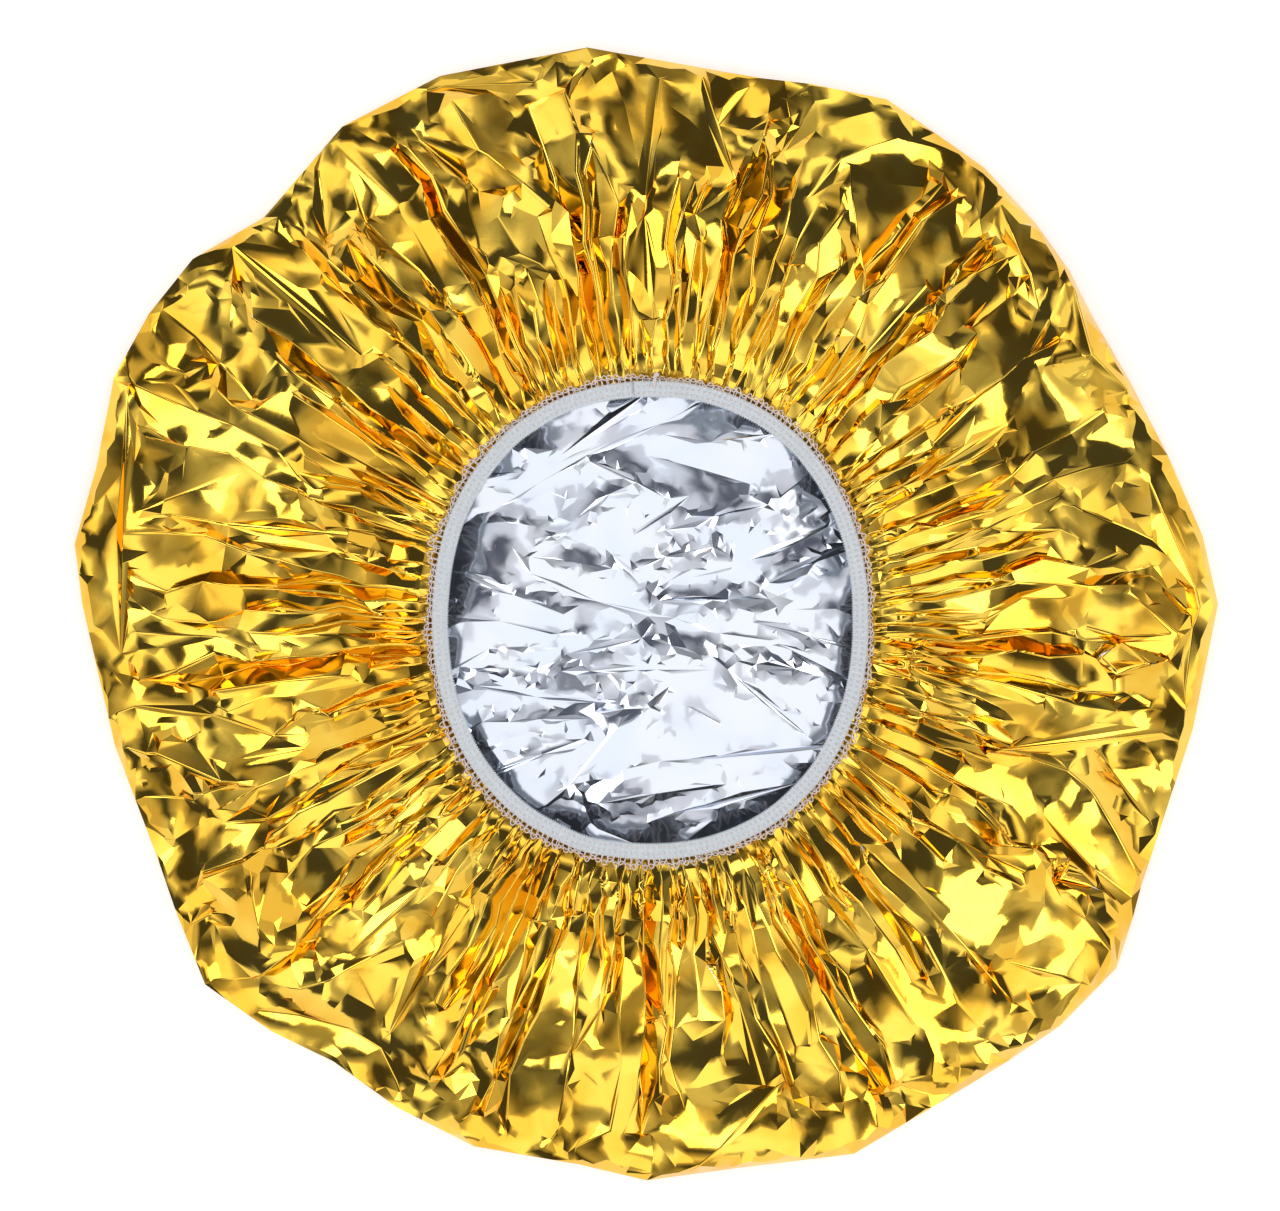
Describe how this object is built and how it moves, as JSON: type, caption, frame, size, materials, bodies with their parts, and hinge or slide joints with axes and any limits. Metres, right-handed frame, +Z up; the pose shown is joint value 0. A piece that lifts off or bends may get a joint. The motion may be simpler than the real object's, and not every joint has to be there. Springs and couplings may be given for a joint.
{
  "type": "elasticated foil cap",
  "caption": "Round cap of metallised film, gold outside and silver inside, gathered onto an elasticated oval mouth by an overlocked seam, lying flat on its crown.",
  "frame": {"origin": "on the surface that the cap lies on, under the middle of its outline", "axes": "+Z up out of the mouth, +Y along the mouth's longer way towards the end of its seam, +X across the mouth"},
  "size_m": [0.3402, 0.337, 0.0294],
  "materials": {
    "film": "gloss",
    "elastic": "matte",
    "thread": "matte"
  },
  "bodies": {
    "crown": {"foil_film": "film"},
    "mouth": {"elastic_band": "elastic", "needle_thread_inner": "thread", "needle_thread_outer": "thread", "looper_thread_upper": "thread", "looper_thread_lower": "thread", "thread_tail": "thread"}
  },
  "joints": [
    {"name": "mouth_lift", "type": "slide", "parent": "crown", "child": "mouth", "axis": [0, 0, 1], "range_m": [0, 0.045], "deforming": ["foil_film"]}
  ]
}
